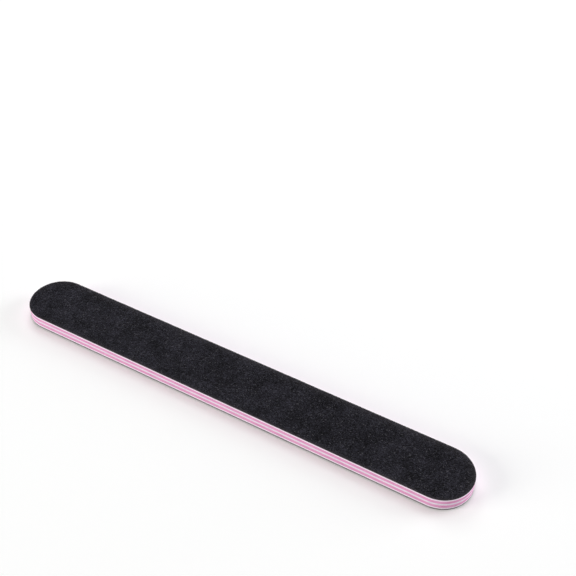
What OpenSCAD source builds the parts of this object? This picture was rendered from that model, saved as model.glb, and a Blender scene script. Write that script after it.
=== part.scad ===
// Emery board: a double-sided nail file, punched from a bonded sheet of grit, paper, foam and plastic.
// X runs along the board and Y across it. The lower grit face lies on Z = 0.

/* [Outline] */
// Length over both round ends
board_l = 178; // [100:1:230]
// Width across the two straight edges
board_w = 22; // [14:0.5:40]

/* [Grit sheets] */
// Height of the coarse grains on the upper face
coarse_grain_t = 0.32; // [0.15:0.01:0.45]
// Height of the fine grains on the lower face
fine_grain_t = 0.28; // [0.15:0.01:0.4]
// Resin coat that the grains are set in
resin_t = 0.12; // [0.04:0.01:0.2]
// Heavy paper that carries the resin coat
paper_t = 0.5; // [0.15:0.01:0.8]
// Adhesive film between the paper and the foam
paper_glue_t = 0.15; // [0.05:0.01:0.3]

/* [Foam and core] */
// Each of the two cushioning foam layers
foam_t = 1.1; // [0.6:0.05:4]
// Adhesive film between the foam and the core
core_glue_t = 0.05; // [0.03:0.01:0.2]
// Stiff plastic strip in the middle
core_t = 0.7; // [0.3:0.05:2]

/* [Punched edge] */
// How far the coarse grains stop short of the paper's cut edge, on the side where the die goes in
coarse_setback = 0.12; // [0.02:0.01:0.4]
// How far the fine grains stop short of it, on the side where the die comes out
fine_setback = 0.03; // [0.02:0.01:0.4]
// Rounding of both grain layers' outer rims
rim_r = 0.12; // [0.04:0.01:0.14]
// How far the resin coat stops short of the paper's cut edge
resin_setback = 0.03; // [0:0.01:0.2]
// How far the foam's cut edge starts inside the paper's
foam_setback = 0.03; // [0:0.01:0.3]
// Depth of the hollow that the foam's cut edge springs back to
foam_dish = 0.16; // [0.04:0.01:0.3]
// How far both adhesive films stop short of the paper's cut edge
glue_setback = 0.04; // [0:0.01:0.4]
// How far the core's cut edge sits inside the paper's
core_setback = 0.02; // [0:0.01:0.3]
// Rounding of the core's two cut corners
core_edge_r = 0.1; // [0.03:0.01:0.14]

/* [Hidden] */
$fn = 96;
end_r = board_w / 2;
run_l = board_l - board_w;

// Heights at which the layers meet, from the lower face up
fine_top = fine_grain_t;
low_resin_top = fine_top + resin_t;
low_paper_top = low_resin_top + paper_t;
low_glue_top = low_paper_top + paper_glue_t;
low_foam_top = low_glue_top + foam_t;
core_z = low_foam_top + core_glue_t;
core_top = core_z + core_t;
high_foam_z = core_top + core_glue_t;
high_glue_z = high_foam_z + foam_t;
high_paper_z = high_glue_z + paper_glue_t;
high_resin_z = high_paper_z + paper_t;
coarse_z = high_resin_z + resin_t;

// Arc of the foam's hollow: it passes through both corners of the cut edge and is foam_dish deep between them
dish_r = (pow(foam_dish, 2) + pow(foam_t / 2, 2)) / (2 * foam_dish);

GRIT = [0.16, 0.16, 0.18];
RESIN = [0.1, 0.1, 0.11];
PAPER = [0.96, 0.94, 0.95];
GLUE = [0.93, 0.9, 0.92];
FOAM = [0.87, 0.55, 0.7];
CORE = [0.93, 0.9, 0.93];

// Board outline as a flat shape, with its edge moved in by inset
module outline(inset) {
    square([run_l, board_w - 2 * inset], center = true);
    for (end = [-1, 1])
        translate([end * run_l / 2, 0])
            circle(r = end_r - inset);
}

// Layer with an upright cut edge
module flat_layer(z, thickness, inset)
    translate([0, 0, z])
        linear_extrude(thickness)
            outline(inset);

// Layer with a shaped cut edge. Its child is half of the cross section: x from the board's
// centre line out to the edge, and y from the layer's lower face up.
module shaped_layer(z)
    translate([0, 0, z]) {
        rotate([90, 0, 90])
            linear_extrude(run_l, center = true) {
                children();
                mirror([1, 0])
                    children();
            }
        for (end = [-1, 1])
            translate([end * run_l / 2, 0, 0])
                rotate([0, 0, end * 90 - 180])
                    rotate_extrude(angle = 180)
                        children();
    }

// Half section of a layer whose upper outer corner is rounded by r
module half_section_one_round(half_w, thickness, r) {
    square([half_w - r, thickness]);
    square([half_w, thickness - r]);
    intersection() {
        square([half_w, thickness]);
        translate([half_w - r, thickness - r])
            circle(r);
    }
}

// Half section of a layer whose two outer corners are rounded by r
module half_section_two_round(half_w, thickness, r) {
    square([half_w - r, thickness]);
    translate([0, r])
        square([half_w, thickness - 2 * r]);
    for (y = [r, thickness - r])
        translate([half_w - r, y])
            circle(r);
}

// Half section of a layer whose cut edge is hollowed by an arc
module half_section_dished(half_w, thickness)
    difference() {
        square([half_w, thickness]);
        translate([half_w - foam_dish + dish_r, thickness / 2])
            circle(dish_r);
    }

module grain_layer(thickness, setback)
    shaped_layer(0)
        half_section_one_round(end_r - setback, thickness, rim_r);

module foam_layer(z)
    color(FOAM)
        shaped_layer(z)
            half_section_dished(end_r - foam_setback, foam_t);

module paper_layer(z)
    color(PAPER)
        flat_layer(z, paper_t, 0);

module resin_layer(z)
    color(RESIN)
        flat_layer(z, resin_t, resin_setback);

module glue_layer(z, thickness)
    color(GLUE)
        flat_layer(z, thickness, glue_setback);

module coarse_grain_layer()
    color(GRIT)
        translate([0, 0, coarse_z])
            grain_layer(coarse_grain_t, coarse_setback);

module upper_resin_coat() resin_layer(high_resin_z);
module upper_backing_paper() paper_layer(high_paper_z);
module upper_paper_adhesive() glue_layer(high_glue_z, paper_glue_t);
module upper_foam() foam_layer(high_foam_z);
module upper_core_adhesive() glue_layer(core_top, core_glue_t);

module core_strip()
    color(CORE)
        shaped_layer(core_z)
            half_section_two_round(end_r - core_setback, core_t, core_edge_r);

module lower_core_adhesive() glue_layer(low_foam_top, core_glue_t);
module lower_foam() foam_layer(low_glue_top);
module lower_paper_adhesive() glue_layer(low_paper_top, paper_glue_t);
module lower_backing_paper() paper_layer(low_resin_top);
module lower_resin_coat() resin_layer(fine_top);

module fine_grain_layer()
    color(GRIT)
        translate([0, 0, fine_top])
            mirror([0, 0, 1])
                grain_layer(fine_grain_t, fine_setback);

coarse_grain_layer();
upper_resin_coat();
upper_backing_paper();
upper_paper_adhesive();
upper_foam();
upper_core_adhesive();
core_strip();
lower_core_adhesive();
lower_foam();
lower_paper_adhesive();
lower_backing_paper();
lower_resin_coat();
fine_grain_layer();
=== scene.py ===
# Emery board with round ends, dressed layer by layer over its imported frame.
# Lengths are in metres. X runs along the board, Y across it, and the lower grit face lies on Z = 0.
import math

import bpy
import numpy as np
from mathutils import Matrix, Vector


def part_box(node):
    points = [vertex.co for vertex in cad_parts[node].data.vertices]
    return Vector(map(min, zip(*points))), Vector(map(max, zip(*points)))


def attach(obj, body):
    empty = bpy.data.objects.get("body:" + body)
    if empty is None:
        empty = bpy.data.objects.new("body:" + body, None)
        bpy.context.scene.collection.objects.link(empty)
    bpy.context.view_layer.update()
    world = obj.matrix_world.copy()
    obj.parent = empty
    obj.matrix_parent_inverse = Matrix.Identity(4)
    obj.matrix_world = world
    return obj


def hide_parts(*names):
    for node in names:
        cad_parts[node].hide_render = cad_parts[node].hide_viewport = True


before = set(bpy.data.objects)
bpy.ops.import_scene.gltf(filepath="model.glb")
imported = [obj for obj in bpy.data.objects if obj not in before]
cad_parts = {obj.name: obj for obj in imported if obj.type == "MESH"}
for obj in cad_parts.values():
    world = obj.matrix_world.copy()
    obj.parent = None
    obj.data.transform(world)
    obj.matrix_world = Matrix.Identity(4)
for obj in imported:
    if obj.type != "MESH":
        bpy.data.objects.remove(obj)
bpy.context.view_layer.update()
mm = 0.001
seed = 21
rng = np.random.default_rng(seed)
print("stage: frame loaded,", len(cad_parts), "nodes")


# Colour from its sRGB hex value: each channel is turned to linear light.
def hexColour(text):
    parts = [int(text[k:k + 2], 16) / 255 for k in (0, 2, 4)]
    return [p / 12.92 if p <= 0.04045 else ((p + 0.055) / 1.055) ** 2.4 for p in parts] + [1]


# Adds a node. A value that is another node's output is linked, and any other value is set.
def addNode(tree, kind, settings={}, inputs={}):
    node = tree.nodes.new(kind)
    for name, value in settings.items():
        setattr(node, name, value)
    for name, value in inputs.items():
        if isinstance(value, bpy.types.NodeSocket):
            tree.links.new(value, node.inputs[name])
        else:
            node.inputs[name].default_value = value
    return node


# Material with an empty node tree.
def newMaterial(name):
    material = bpy.data.materials.new(name)
    material.use_nodes = True
    material.node_tree.nodes.clear()
    return material, material.node_tree


# Fills in a Principled shader and joins it to the output.
def finishMaterial(tree, inputs):
    shader = addNode(tree, "ShaderNodeBsdfPrincipled", {}, inputs)
    addNode(tree, "ShaderNodeOutputMaterial", {}, {"Surface": shader.outputs["BSDF"]})


# Smooth random field on a grid that closes on itself: white noise whose spectrum is multiplied by a
# bell curve, so that its blobs are about blobRows by blobColumns grid steps. Mean 0 and deviation 1.
def blobNoise(rows, columns, blobRows, blobColumns):
    steepness = 4
    spectrum = np.fft.rfft2(rng.standard_normal((rows, columns)))
    rowWave = np.fft.fftfreq(rows)[:, None] * blobRows
    columnWave = np.fft.rfftfreq(columns)[None, :] * blobColumns
    bell = np.exp(-steepness * (rowWave ** 2 + columnWave ** 2))
    field = np.fft.irfft2(spectrum * bell, (rows, columns))
    return (field - field.mean()) / field.std()


# Only the blobs that rise over the mean, from 0 there to 1 at twice the deviation and above.
def risenBlobs(rows, columns, blobRows, blobColumns):
    return np.clip(blobNoise(rows, columns, blobRows, blobColumns), 0, 2) / 2


# Heights of an edge's rows, as shares of the layer's thickness.
def evenRows(rows):
    return np.linspace(0, 1, rows)[:, None]


# Parabola over those rows: 0 at both corners of the edge and 1 at mid height.
def hollowCurve(rise):
    return 4 * rise * (1 - rise)


# What a node says of its layer: half its length and width, its lowest and highest point, and the
# thickness between them.
def layerSize(node):
    low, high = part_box(node)
    return {"halfLength": high.x, "halfWidth": high.y, "bottom": low.z, "top": high.z,
            "thickness": high.z - low.z}


# Puts points and faces into a new piece that stands for its node and rides on the board.
def addPiece(name, node, points, faces, smooth, material):
    mesh = bpy.data.meshes.new(name)
    mesh.from_pydata(points, [], faces)
    mesh.polygons.foreach_set("use_smooth", smooth)
    mesh.materials.append(material)
    mesh.update()
    piece = bpy.data.objects.new(name, mesh)
    bpy.context.scene.collection.objects.link(piece)
    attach(piece, "root")
    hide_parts(node)
    print("stage:", name, len(faces), "faces")
    return piece


# Stations round the board, anticlockwise from the near left corner: along the near edge, round half a
# circle, back along the far edge and round the other half circle. A station is a point on the middle
# line and the angle of its outward direction.
def outlineStations(size, spacing):
    run = size["halfLength"] - size["halfWidth"]
    runCount = round(2 * run / spacing)
    arcCount = round(math.pi * size["halfWidth"] / spacing)
    along = np.arange(runCount) / runCount * 2 * run - run
    turn = np.arange(arcCount) / arcCount * math.pi - math.pi / 2
    centre = np.concatenate([along, np.full(arcCount, run), -along, np.full(arcCount, -run)])
    nearAngle = np.full(runCount, -math.pi / 2)
    angle = np.concatenate([nearAngle, turn, nearAngle + math.pi, turn + math.pi])
    return centre, angle, runCount, arcCount


# Number of those stations.
def stationCount(size, spacing):
    return len(outlineStations(size, spacing)[0])


# Closed layer: an edge profile carried along the outline. Row r of station s lies reach[r, s] out from
# the middle line and at height[r, s], rows going up. The flat caps are strips from the near edge to the
# far edge, with one half-round face at each end.
def layerShell(size, spacing, reach, height):
    centre, angle, runCount, arcCount = outlineStations(size, spacing)
    rows, count = reach.shape
    points = np.stack([centre + reach * np.cos(angle), reach * np.sin(angle), height], -1).reshape(-1, 3)
    row, station = np.mgrid[0:rows - 1, 0:count]
    after = (station + 1) % count
    wall = np.stack([row * count + station, row * count + after,
                     (row + 1) * count + after, (row + 1) * count + station], -1).reshape(-1, 4)
    near = np.arange(runCount)
    far = 2 * runCount + arcCount - near
    strip = np.stack([near, near + 1, far - 1, far], -1)
    rightEnd = runCount + np.arange(arcCount + 1)
    leftEnd = (2 * runCount + arcCount + np.arange(arcCount + 1)) % count
    lift = (rows - 1) * count
    caps = [*(strip + lift).tolist(), (rightEnd + lift).tolist(), (leftEnd + lift).tolist()]
    caps += [*strip[:, ::-1].tolist(), rightEnd[::-1].tolist(), leftEnd[::-1].tolist()]
    smooth = [True] * len(wall) + [False] * len(caps)
    return points, wall.tolist() + caps, smooth


# Makes such a layer into the piece of its node. rise is the height of each row of its edge, as a share
# of the layer's thickness.
def addLayer(name, node, spacing, rise, reach, material):
    size = layerSize(node)
    height = size["bottom"] + size["thickness"] * rise + 0 * reach
    points, faces, smooth = layerShell(size, spacing, reach, height)
    return addPiece(name, node, points, faces, smooth, material)


gritSpec = {
    "step": 0.205 * mm,  # between the mesh's grains
    "shift": 0.36,  # how far a grain leaves its place in the grid, in steps
    "scatter": 1.3,  # above 1, more of the grains stand high than low
    "leastHeight": 0.3,  # of a grain, as a share of the layer's
    "rimWidth": 0.3 * mm,  # over which the die pressed the upper grains down
    "ragged": 0.05 * mm,  # how far single grains stand back from the cut
    "clumpWidth": 1.1 * mm,
    "clumpShare": 0.1,
    # The next three set a painted highlight: the rim of each grit face is painted lighter grey, more
    # widely on the far side.
    "rimHighlightWidth": 0.8 * mm,  # over which the painted highlight along the rim fades away
    "rimHighlightSkew": 0.6,  # share by which that is wider on the far side, and narrower on the near side
    "rimHighlightShare": 0.6,
    "mottleWidth": 7 * mm,  # of the cloudy light and dark places in the colour
    "mottleGain": 1.4,  # contrast of those places
    "mottleBase": -0.6,  # what is added to them
    "grainGain": 0.8,  # contrast from grain to grain
    "darkening": 1.8,  # power that leaves most grains dark and a few lighter
    # depth is the share of the layer's height that the grains vary over, and rim the share left at
    # the rim. The last value is the share of the grains that get a lighter colour as painted glints.
    "layers": {
        "coarse": {"up": 1, "depth": 0.55, "rim": 0.8, "grainWidth": 0.32 * mm, "paintedGlint": 0.03},
        "fine": {"up": -1, "depth": 0.2, "rim": 1.0, "grainWidth": 0.2 * mm, "paintedGlint": 0.02},
    },
}


# Faces of a closed shell on a grid of points: the grid itself, a wall from its rim to a second ring of
# points, and strips across that ring from side to side, with one face at each end. The grid's points
# come first, row by row, and then the ring's, which start at the first corner and run along the first
# row. Also gives the rim's points, in the ring's order.
def gridShell(rows, columns):
    index = np.arange(rows * columns).reshape(rows, columns)
    face = np.stack([index[:-1, :-1], index[:-1, 1:], index[1:, 1:], index[1:, :-1]], -1).reshape(-1, 4)
    rim = np.concatenate([index[0, :-1], index[:-1, -1], index[-1, :0:-1], index[:0:-1, 0]])
    ring = rows * columns + np.arange(len(rim))
    wall = np.stack([ring, np.roll(ring, -1), np.roll(rim, -1), rim], -1)
    near = np.arange(columns - 1)
    far = 2 * (columns - 1) + (rows - 1) - near
    strip = ring[np.stack([far, far - 1, near + 1, near], -1)]
    rightEnd = ring[(columns - 1 + np.arange(rows))[::-1]]
    leftEnd = ring[((2 * (columns - 1) + rows - 1 + np.arange(rows)) % len(ring))[::-1]]
    return [*face.tolist(), *wall.tolist(), *strip.tolist(), rightEnd.tolist(), leftEnd.tolist()], rim


# Layer of grains: a grid of u along and v across the board. Within the straight run x is u and y is v.
# In the round ends the square from the run to the tip is bent to a half disc: each of its two
# coordinates is shortened by the root of one less half the other's square. Each grid point is shifted
# by chance and raised by chance, and the heights fall off to the rim. up is 1 for the upper face, and
# -1 for the lower one. The point attribute that carries the painted rim highlight is 1 at the rim and
# fades inwards as an exponential, over a longer way on the far side.
def gritLayer(name, grade):
    node = grade + "_grain_layer"
    layer = gritSpec["layers"][grade]
    up, depth, rimShare = layer["up"], layer["depth"], layer["rim"]
    material = gritMaterial("siliconCarbide" + grade.capitalize(), layer["grainWidth"], layer["paintedGlint"])
    size = layerSize(node)
    halfLength, halfWidth = size["halfLength"], size["halfWidth"]
    run = halfLength - halfWidth
    base = size["bottom"] if up > 0 else size["top"]
    columns = round(2 * halfLength / gritSpec["step"]) + 1
    rows = round(2 * halfWidth / gritSpec["step"]) + 1
    across, along = np.linspace(-1, 1, rows), np.linspace(-halfLength, halfLength, columns)
    v, u = np.meshgrid(across, along, indexing="ij")
    shift = rng.uniform(-gritSpec["shift"], gritSpec["shift"], (2, rows, columns))
    shift[0, :, [0, -1]] = 0
    shift[1, [0, -1], :] = 0
    u = u + shift[0] * gritSpec["step"]
    v = v + shift[1] * gritSpec["step"] / halfWidth
    past = np.clip((np.abs(u) - run) / halfWidth, 0, 1)
    x = np.sign(u) * (np.minimum(np.abs(u), run) + halfWidth * past * np.sqrt(1 - v ** 2 / 2))
    y = halfWidth * v * np.sqrt(1 - past ** 2 / 2)
    inside = halfWidth - np.hypot(np.maximum(np.abs(x) - run, 0), y)

    clumpSteps = gritSpec["clumpWidth"] / gritSpec["step"]
    clump = blobNoise(rows, columns, clumpSteps, clumpSteps)
    grain = 1 - depth * rng.random((rows, columns)) ** gritSpec["scatter"]
    grain = np.clip(grain + gritSpec["clumpShare"] * depth * clump, gritSpec["leastHeight"], 1)
    rim = np.clip(inside / gritSpec["rimWidth"], 0, 1)
    grain *= rimShare + (1 - rimShare) * rim * (2 - rim)

    edge = np.zeros((rows, columns), bool)
    edge[[0, -1], :] = True
    edge[:, [0, -1]] = True
    pull = np.where(edge, 1 - gritSpec["ragged"] * rng.random((rows, columns)) / halfWidth, 1)
    middle = np.clip(x, -run, run)
    x, y = middle + (x - middle) * pull, y * pull
    top = np.stack([x, y, base + up * size["thickness"] * grain], -1).reshape(-1, 3)
    faces, ring = gridShell(rows, columns)
    low = top[ring].copy()
    low[:, 2] = base
    if up < 0:
        faces = [f[::-1] for f in faces]
    points = np.concatenate([top, low])
    piece = addPiece(name, node, points, faces, [False] * len(faces), material)

    # Painted highlight along the rim, kept in a point attribute.
    highlightWidth = gritSpec["rimHighlightWidth"] * (1 + gritSpec["rimHighlightSkew"] * v)
    highlightFade = np.exp(-(inside / highlightWidth).ravel())
    rimHighlight = piece.data.attributes.new("rimHighlight", "FLOAT", "POINT")
    rimHighlight.data.foreach_set("value", np.concatenate([highlightFade, np.ones(len(ring))]).astype(np.float32))
    return piece


# Black silicon carbide on a dyed size coat, spread electrostatically: a matt, blue-black face, mottled
# softly from grain to grain and in clumps, with a faint bluish sheen at low angles. Grains picked by
# chance are painted lighter as painted glints, and the rim is painted lighter grey as a painted
# highlight. Real grains are 0.1 to 0.2 mm, too fine for the picture, so the ones drawn are wider.
def gritMaterial(name, grainWidth, paintedGlintShare):
    material, tree = newMaterial(name)
    place = addNode(tree, "ShaderNodeTexCoord").outputs["Object"]
    grains = addNode(tree, "ShaderNodeTexVoronoi", {"feature": "F1"},
                     {"Vector": place, "Scale": 1 / grainWidth, "Randomness": 1.0})
    parts = addNode(tree, "ShaderNodeSeparateColor", {}, {"Color": grains.outputs["Color"]})
    clouds = addNode(tree, "ShaderNodeTexNoise", {},
                     {"Vector": place, "Scale": 1 / gritSpec["mottleWidth"], "Detail": 5.0,
                      "Roughness": 0.72})
    mottle = addNode(tree, "ShaderNodeMath", {"operation": "MULTIPLY_ADD"},
                     {0: clouds.outputs["Fac"], 1: gritSpec["mottleGain"], 2: gritSpec["mottleBase"]})
    mixed = addNode(tree, "ShaderNodeMath", {"operation": "MULTIPLY_ADD", "use_clamp": True},
                    {0: parts.outputs["Red"], 1: gritSpec["grainGain"], 2: mottle.outputs[0]})
    uneven = addNode(tree, "ShaderNodeMath", {"operation": "POWER"},
                     {0: mixed.outputs[0], 1: gritSpec["darkening"]})
    ramp = addNode(tree, "ShaderNodeValToRGB", {}, {"Fac": uneven.outputs[0]})
    ramp.color_ramp.elements[0].color = hexColour("020203")
    ramp.color_ramp.elements[1].color = hexColour("34333b")
    # Painted glints: grains picked by chance are given a lighter colour, as if they caught the light.
    paintedGlints = addNode(tree, "ShaderNodeMath", {"operation": "GREATER_THAN"},
                     {0: parts.outputs["Green"], 1: 1 - paintedGlintShare})
    colour = addNode(tree, "ShaderNodeMix", {"data_type": "RGBA"},
                     {"Factor": paintedGlints.outputs[0], "A": ramp.outputs["Color"], "B": hexColour("464549")})
    # Painted highlight: the colour is mixed towards a lighter grey where the rim attribute is high.
    rimHighlight = addNode(tree, "ShaderNodeAttribute", {"attribute_name": "rimHighlight"})
    amount = addNode(tree, "ShaderNodeMath", {"operation": "MULTIPLY"},
                     {0: rimHighlight.outputs["Fac"], 1: gritSpec["rimHighlightShare"]})
    rimHighlighted = addNode(tree, "ShaderNodeMix", {"data_type": "RGBA"},
                      {"Factor": amount.outputs[0], "A": colour.outputs["Result"],
                       "B": hexColour("444144")})
    rough = addNode(tree, "ShaderNodeMapRange", {},
                    {"Value": parts.outputs["Blue"], "To Min": 0.45, "To Max": 0.8})
    bump = addNode(tree, "ShaderNodeBump", {},
                   {"Height": grains.outputs["Distance"], "Strength": 0.7, "Distance": grainWidth / 2})
    finishMaterial(tree, {"Base Color": rimHighlighted.outputs["Result"], "Roughness": rough.outputs["Result"],
                          "Normal": bump.outputs["Normal"], "IOR": 1.6, "Specular IOR Level": 0.03,
                          "Sheen Weight": 0.21, "Sheen Roughness": 0.3,
                          "Sheen Tint": hexColour("e6e3ff")})
    return material


gritLayer("coarseGrit", "coarse")
gritLayer("fineGrit", "fine")


# Dyed phenolic resin, roller coated and baked: a thin dark line between the grains and the paper.
def resinMaterial():
    material, tree = newMaterial("phenolicResin")
    place = addNode(tree, "ShaderNodeTexCoord").outputs["Object"]
    flow = addNode(tree, "ShaderNodeTexNoise", {},
                   {"Vector": place, "Scale": 1 / (0.5 * mm), "Detail": 3.0})
    ramp = addNode(tree, "ShaderNodeValToRGB", {}, {"Fac": flow.outputs["Fac"]})
    ramp.color_ramp.elements[0].color = hexColour("100e0f")
    ramp.color_ramp.elements[1].color = hexColour("221e1f")
    rough = addNode(tree, "ShaderNodeMapRange", {},
                    {"Value": flow.outputs["Fac"], "To Min": 0.35, "To Max": 0.6})
    bump = addNode(tree, "ShaderNodeBump", {},
                   {"Height": flow.outputs["Fac"], "Strength": 0.3, "Distance": 0.03 * mm})
    finishMaterial(tree, {"Base Color": ramp.outputs["Color"], "Roughness": rough.outputs["Result"],
                          "Normal": bump.outputs["Normal"], "IOR": 1.6, "Specular IOR Level": 0.2})
    return material


resinSpec = {
    "spacing": 0.2 * mm,
    "rows": 3,
    "drawBack": 0.02 * mm,
    "breakLength": 0.8 * mm,  # of a place where the coat broke away over its whole thickness
}


# Resin coat: an upright edge that stands back by chance where the die broke it away.
def resinCoat(name, node, material):
    spacing, rows = resinSpec["spacing"], resinSpec["rows"]
    size = layerSize(node)
    count = stationCount(size, spacing)
    broken = risenBlobs(rows, count, rows - 1, resinSpec["breakLength"] / spacing)
    reach = size["halfWidth"] - resinSpec["drawBack"] * broken
    return addLayer(name, node, spacing, evenRows(rows), reach, material)


resin = resinMaterial()
resinCoat("upperResin", "upper_resin_coat", resin)
resinCoat("lowerResin", "lower_resin_coat", resin)


# Bleached heavy paper, die cut: a bright white line, faintly streaked by the fibres that lie flat in it.
def paperMaterial():
    material, tree = newMaterial("bleachedPaper")
    place = addNode(tree, "ShaderNodeTexCoord").outputs["Object"]
    flat = addNode(tree, "ShaderNodeMapping", {}, {"Vector": place, "Scale": (1, 1, 12)})
    fibres = addNode(tree, "ShaderNodeTexNoise", {},
                     {"Vector": flat.outputs["Vector"], "Scale": 1 / (0.7 * mm), "Detail": 4.0})
    ramp = addNode(tree, "ShaderNodeValToRGB", {}, {"Fac": fibres.outputs["Fac"]})
    ramp.color_ramp.elements[0].position = 0.3
    ramp.color_ramp.elements[1].position = 0.6
    ramp.color_ramp.elements[0].color = hexColour("f1dcee")
    ramp.color_ramp.elements[1].color = hexColour("feefff")
    bump = addNode(tree, "ShaderNodeBump", {},
                   {"Height": fibres.outputs["Fac"], "Strength": 0.5, "Distance": 0.03 * mm})
    finishMaterial(tree, {"Base Color": ramp.outputs["Color"], "Roughness": 0.85,
                          "Normal": bump.outputs["Normal"], "IOR": 1.47})
    return material


paperSpec = {
    "spacing": 0.15 * mm,
    "rows": 7,
    "fibreDepth": 0.02 * mm,
    "fibreLength": 0.9 * mm,
    "fibreThickness": 0.1 * mm,
    "fibreContrast": 0.3,  # how much the depth differs from place to place
    "burr": 0.012 * mm,  # how far the lower side is drawn back
}


# Backing paper: an edge drawn back a little by chance along its fibres, and by the die at its lower side.
def backingPaper(name, node, material):
    spacing, rows = paperSpec["spacing"], paperSpec["rows"]
    size = layerSize(node)
    count = stationCount(size, spacing)
    rise = evenRows(rows)
    fibreRows = paperSpec["fibreThickness"] / size["thickness"] * (rows - 1)
    fibres = blobNoise(rows, count, fibreRows, paperSpec["fibreLength"] / spacing)
    depth = np.clip(0.5 + paperSpec["fibreContrast"] * fibres, 0, 1)
    reach = size["halfWidth"] - paperSpec["fibreDepth"] * depth - paperSpec["burr"] * (1 - rise)
    return addLayer(name, node, spacing, rise, reach, material)


paper = paperMaterial()
backingPaper("upperPaper", "upper_backing_paper", paper)
backingPaper("lowerPaper", "lower_backing_paper", paper)


# Acrylic transfer adhesive: a milky, slightly glossy film, painted pinkish for the foam's colour that
# would shine through it.
def adhesiveMaterial():
    material, tree = newMaterial("acrylicAdhesive")
    place = addNode(tree, "ShaderNodeTexCoord").outputs["Object"]
    smear = addNode(tree, "ShaderNodeTexNoise", {},
                    {"Vector": place, "Scale": 1 / (1.5 * mm), "Detail": 2.0})
    ramp = addNode(tree, "ShaderNodeValToRGB", {}, {"Fac": smear.outputs["Fac"]})
    ramp.color_ramp.elements[0].color = hexColour("ecd3e0")
    ramp.color_ramp.elements[1].color = hexColour("f6e8ef")
    rough = addNode(tree, "ShaderNodeMapRange", {},
                    {"Value": smear.outputs["Fac"], "To Min": 0.35, "To Max": 0.55})
    finishMaterial(tree, {"Base Color": ramp.outputs["Color"], "Roughness": rough.outputs["Result"],
                          "IOR": 1.47})
    return material


adhesiveSpec = {
    "spacing": 0.25 * mm,
    "rows": 3,
    "drawBack": 0.05 * mm,  # where the hollow is deepest
    "patchLength": 2.25 * mm,  # of a deeper or shallower place
    "usualDepth": 0.5,  # this and the next two are shares of drawBack
    "depthSpread": 0.25,
    "leastDepth": 0.1,
}


# Adhesive film: its edge is a shallow hollow between the layers that it bonds, deeper in some places.
def adhesiveFilm(name, node, material):
    spacing = adhesiveSpec["spacing"]
    size = layerSize(node)
    count = stationCount(size, spacing)
    rise = evenRows(adhesiveSpec["rows"])
    patches = adhesiveSpec["depthSpread"] * blobNoise(1, count, 1, adhesiveSpec["patchLength"] / spacing)
    depth = np.clip(adhesiveSpec["usualDepth"] + patches, adhesiveSpec["leastDepth"], 1)
    reach = size["halfWidth"] - adhesiveSpec["drawBack"] * depth * hollowCurve(rise)
    return addLayer(name, node, spacing, rise, reach, material)


adhesive = adhesiveMaterial()
for level in ("upper", "lower"):
    for layer in ("Paper", "Core"):
        adhesiveFilm(level + layer + "Adhesive", level + "_" + layer.lower() + "_adhesive", adhesive)


# Closed-cell EVA foam, die cut: soft pink, matt, pricked all over by its cut cells.
def foamMaterial():
    material, tree = newMaterial("evaFoam")
    place = addNode(tree, "ShaderNodeTexCoord").outputs["Object"]
    cells = addNode(tree, "ShaderNodeTexVoronoi", {"feature": "F1"},
                    {"Vector": place, "Scale": 1 / (0.2 * mm), "Randomness": 1.0})
    drift = addNode(tree, "ShaderNodeTexNoise", {},
                    {"Vector": place, "Scale": 1 / (4 * mm), "Detail": 3.0})
    # Painted shade: the colour darkens towards the middle of each cut cell, where the bump dips into a
    # pit.
    cellPitShade = 0.5
    shade = addNode(tree, "ShaderNodeMath", {"operation": "MULTIPLY_ADD", "use_clamp": True},
                    {0: cells.outputs["Distance"], 1: cellPitShade, 2: drift.outputs["Fac"]})
    ramp = addNode(tree, "ShaderNodeValToRGB", {}, {"Fac": shade.outputs[0]})
    ramp.color_ramp.elements[0].position = 0.35
    ramp.color_ramp.elements[1].position = 0.95
    ramp.color_ramp.elements[0].color = hexColour("d988bb")
    ramp.color_ramp.elements[1].color = hexColour("e9a4cf")
    bump = addNode(tree, "ShaderNodeBump", {},
                   {"Height": cells.outputs["Distance"], "Strength": 0.4, "Distance": 0.05 * mm})
    finishMaterial(tree, {"Base Color": ramp.outputs["Color"], "Roughness": 0.8, "IOR": 1.49,
                          "Normal": bump.outputs["Normal"], "Subsurface Weight": 0.15,
                          "Subsurface Radius": (1.0, 0.5, 0.7), "Subsurface Scale": 0.4 * mm})
    return material


foamSpec = {
    "spacing": 0.13 * mm,
    "rows": 15,
    "hollow": 0.14 * mm,
    "cellWidth": 0.22 * mm,
    "cellDepth": 0.04 * mm,
    "cellFade": 3,  # the cells grow shallow where the hollow is under a third of its depth
    "waveLength": 9 * mm,
    "wave": 0.012 * mm,
}


# Foam layer: the edge springs back to a hollow, deepest at mid height as a parabola, with pits where
# blobs of noise rise over their mean, and a slow wave along it.
def foamLayer(name, node, material):
    spacing, rows = foamSpec["spacing"], foamSpec["rows"]
    size = layerSize(node)
    count = stationCount(size, spacing)
    rise = evenRows(rows)
    bow = hollowCurve(rise)
    cellRows = foamSpec["cellWidth"] / size["thickness"] * (rows - 1)
    pits = risenBlobs(rows, count, cellRows, foamSpec["cellWidth"] / spacing)
    wave = np.abs(blobNoise(1, count, 1, foamSpec["waveLength"] / spacing))
    reach = size["halfWidth"] - foamSpec["hollow"] * bow - foamSpec["wave"] * wave * bow
    reach = reach - foamSpec["cellDepth"] * pits * np.minimum(1, foamSpec["cellFade"] * bow)
    piece = addLayer(name, node, spacing, rise, reach, material)
    return piece


foam = foamMaterial()
foamLayer("upperFoam", "upper_foam", foam)
foamLayer("lowerFoam", "lower_foam", foam)


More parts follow.
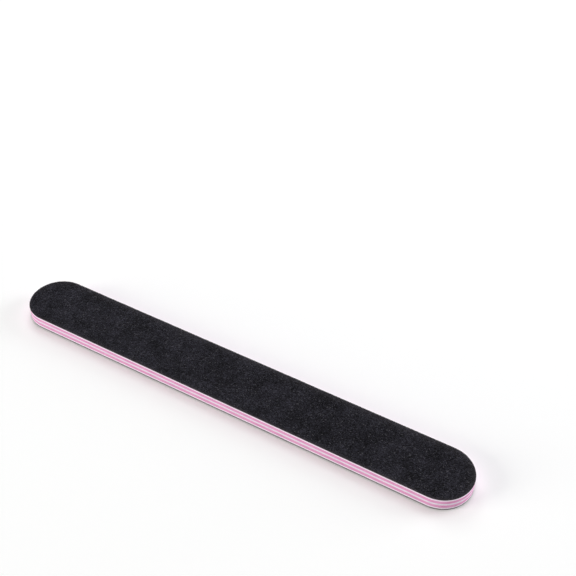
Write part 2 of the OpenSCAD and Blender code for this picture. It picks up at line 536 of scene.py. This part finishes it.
# High-impact polystyrene sheet, sheared by the die: off-white, satin, with fine upright shear marks.
def coreMaterial():
    material, tree = newMaterial("polystyreneSheet")
    place = addNode(tree, "ShaderNodeTexCoord").outputs["Object"]
    upright = addNode(tree, "ShaderNodeMapping", {}, {"Vector": place, "Scale": (1, 1, 0.15)})
    marks = addNode(tree, "ShaderNodeTexNoise", {},
                    {"Vector": upright.outputs["Vector"], "Scale": 1 / (0.25 * mm), "Detail": 3.0})
    ramp = addNode(tree, "ShaderNodeValToRGB", {}, {"Fac": marks.outputs["Fac"]})
    ramp.color_ramp.elements[0].position = 0.3
    ramp.color_ramp.elements[1].position = 0.7
    ramp.color_ramp.elements[0].color = hexColour("e5d5e7")
    ramp.color_ramp.elements[1].color = hexColour("f4e7f7")
    rough = addNode(tree, "ShaderNodeMapRange", {},
                    {"Value": marks.outputs["Fac"], "To Min": 0.35, "To Max": 0.6})
    bump = addNode(tree, "ShaderNodeBump", {},
                   {"Height": marks.outputs["Fac"], "Strength": 0.4, "Distance": 0.02 * mm})
    finishMaterial(tree, {"Base Color": ramp.outputs["Color"], "Roughness": rough.outputs["Result"],
                          "Normal": bump.outputs["Normal"], "IOR": 1.59})
    return material


coreSpec = {
    "spacing": 0.15 * mm,
    "cornerRows": 4,  # round each corner
    "flankRows": 3,  # between the corners
    "cornerRadius": 0.1 * mm,
    "shear": 0.012 * mm,
    "grooveWidth": 0.45 * mm,
    "grooveRows": 12,  # more than the edge has, so that a groove runs from corner to corner
}


# Core strip: an upright edge with quarter-round corners, marked by narrow upright grooves.
def coreStrip(name, node, material):
    spacing, radius = coreSpec["spacing"], coreSpec["cornerRadius"]
    size = layerSize(node)
    thickness = size["thickness"]
    count = stationCount(size, spacing)
    quarter = np.linspace(0, math.pi / 2, coreSpec["cornerRows"])
    cornerInset, cornerHeight = radius * (1 - np.sin(quarter)), radius * (1 - np.cos(quarter))
    flank = np.linspace(radius, thickness - radius, coreSpec["flankRows"] + 2)[1:-1]
    inset = np.concatenate([cornerInset, 0 * flank, cornerInset[::-1]])[:, None]
    height = np.concatenate([cornerHeight, flank, thickness - cornerHeight[::-1]])[:, None]
    grooves = risenBlobs(len(height), count, coreSpec["grooveRows"], coreSpec["grooveWidth"] / spacing)
    reach = size["halfWidth"] - inset - coreSpec["shear"] * grooves
    return addLayer(name, node, spacing, height / thickness, reach, material)


coreStrip("core", "core_strip", coreMaterial())


# 1 for the camera and for mirrored or refracted sight, and 0 for the light that falls on the object.
def seenDirectly(tree):
    path = addNode(tree, "ShaderNodeLightPath")
    first = addNode(tree, "ShaderNodeMath", {"operation": "MAXIMUM"},
                    {0: path.outputs["Is Camera Ray"], 1: path.outputs["Is Glossy Ray"]})
    both = addNode(tree, "ShaderNodeMath", {"operation": "MAXIMUM"},
                   {0: first.outputs[0], 1: path.outputs["Is Transmission Ray"]})
    return both.outputs[0]


floorSpec = {
    "radius": 0.6,
    "points": 96,  # round its edge
    "gap": 0.2 * mm,  # below the lower face, as under a board that isn't quite flat
    "tint": "f2f1f1",
    "seenTint": "ffffff",  # where it is seen, as against what it throws on the board
}


# Floor: a disc of plain paper that keeps the board's shadow, and looks white where it is seen. Its gap
# leaves a dark line where the board meets it.
def addFloor():
    material, tree = newMaterial("studioFloor")
    colour = addNode(tree, "ShaderNodeMix", {"data_type": "RGBA"},
                     {"Factor": seenDirectly(tree), "A": hexColour(floorSpec["tint"]),
                      "B": hexColour(floorSpec["seenTint"])})
    shader = addNode(tree, "ShaderNodeBsdfDiffuse", {}, {"Color": colour.outputs["Result"]})
    addNode(tree, "ShaderNodeOutputMaterial", {}, {"Surface": shader.outputs["BSDF"]})
    radius, count = floorSpec["radius"], floorSpec["points"]
    turn = np.arange(count) / count * 2 * math.pi
    points = np.stack([radius * np.cos(turn), radius * np.sin(turn), 0 * turn - floorSpec["gap"]], -1)
    mesh = bpy.data.meshes.new("floor")
    mesh.from_pydata(points, [], [range(count)])
    mesh.materials.append(material)
    floor = bpy.data.objects.new("floor", mesh)
    bpy.context.scene.collection.objects.link(floor)


worldSpec = {"tint": "ffffff", "fill": 0.2, "seenFill": 1.0}


# World: weak fill light from all round, and plain white where it is seen.
def addWorld():
    world = bpy.data.worlds.new("studio")
    bpy.context.scene.world = world
    world.use_nodes = True
    tree = world.node_tree
    tree.nodes.clear()
    level = addNode(tree, "ShaderNodeMix", {"data_type": "FLOAT"},
                    {"Factor": seenDirectly(tree), "A": worldSpec["fill"], "B": worldSpec["seenFill"]})
    back = addNode(tree, "ShaderNodeBackground", {},
                   {"Color": hexColour(worldSpec["tint"]), "Strength": level.outputs["Result"]})
    addNode(tree, "ShaderNodeOutputWorld", {}, {"Surface": back.outputs["Background"]})


# Soft boxes, all square and at the same distance, slightly warm in front and slightly cool behind.
# Azimuth 0 is in front of the board, 90 at its right end and 180 behind it. Both angles are in degrees,
# and the power is in watts.
lampSpec = {
    "distance": 2.0,
    "side": 1.0,
    "warm": "fdfef5",
    "cool": "fafaff",
    "boxes": {
        "frontRightHigh": {"azimuth": 45, "elevation": 65, "watts": 5.7, "tint": "warm"},
        "rightLow": {"azimuth": 90, "elevation": 15, "watts": 3.9, "tint": "warm"},
        "backRightLow": {"azimuth": 135, "elevation": 15, "watts": 23.0, "tint": "cool"},
        "backHigh": {"azimuth": 180, "elevation": 65, "watts": 10.4, "tint": "cool"},
        "backLeft": {"azimuth": 225, "elevation": 40, "watts": 9.8, "tint": "cool"},
        "backLeftLow": {"azimuth": 225, "elevation": 15, "watts": 1.1, "tint": "cool"},
        "frontLeftLow": {"azimuth": 315, "elevation": 15, "watts": 27.6, "tint": "warm"},
    },
}


# Unit vector towards an azimuth and an elevation, both in degrees.
def towards(azimuth, elevation):
    turn, lift = math.radians(azimuth), math.radians(elevation)
    return Vector((math.sin(turn) * math.cos(lift), -math.cos(turn) * math.cos(lift), math.sin(lift)))


def addLamps():
    for name, box in lampSpec["boxes"].items():
        data = bpy.data.lights.new(name, "AREA")
        data.shape = "SQUARE"
        data.size = lampSpec["side"]
        data.energy = box["watts"]
        data.color = hexColour(lampSpec[box["tint"]])[:3]
        lamp = bpy.data.objects.new(name, data)
        direction = towards(box["azimuth"], box["elevation"])
        lamp.location = direction * lampSpec["distance"]
        lamp.rotation_euler = direction.to_track_quat("Z", "Y").to_euler()
        bpy.context.scene.collection.objects.link(lamp)


cameraSpec = {
    "aim": (-10.6 * mm, 54.7 * mm, 0),  # where its axis meets the height of the lower face
    "distance": 382.0 * mm,  # from there
    "azimuth": 30.71,  # as the lamps' angles
    "elevation": 41.74,
    "lens": 61.5,  # this and the sensor's width are in millimetres, as Blender takes them
    "sensor": 36,
    "clip": (0.01, 10),  # nearest and furthest, in metres
}


def addCamera():
    data = bpy.data.cameras.new("camera")
    data.sensor_width = cameraSpec["sensor"]
    data.lens = cameraSpec["lens"]
    data.clip_start, data.clip_end = cameraSpec["clip"]
    camera = bpy.data.objects.new("camera", data)
    direction = towards(cameraSpec["azimuth"], cameraSpec["elevation"])
    camera.location = Vector(cameraSpec["aim"]) + direction * cameraSpec["distance"]
    camera.rotation_euler = direction.to_track_quat("Z", "Y").to_euler()
    bpy.context.scene.collection.objects.link(camera)
    bpy.context.scene.camera = camera


addFloor()
addWorld()
addLamps()
addCamera()
bpy.context.scene.view_settings.view_transform = "Standard"
print("stage: studio set")
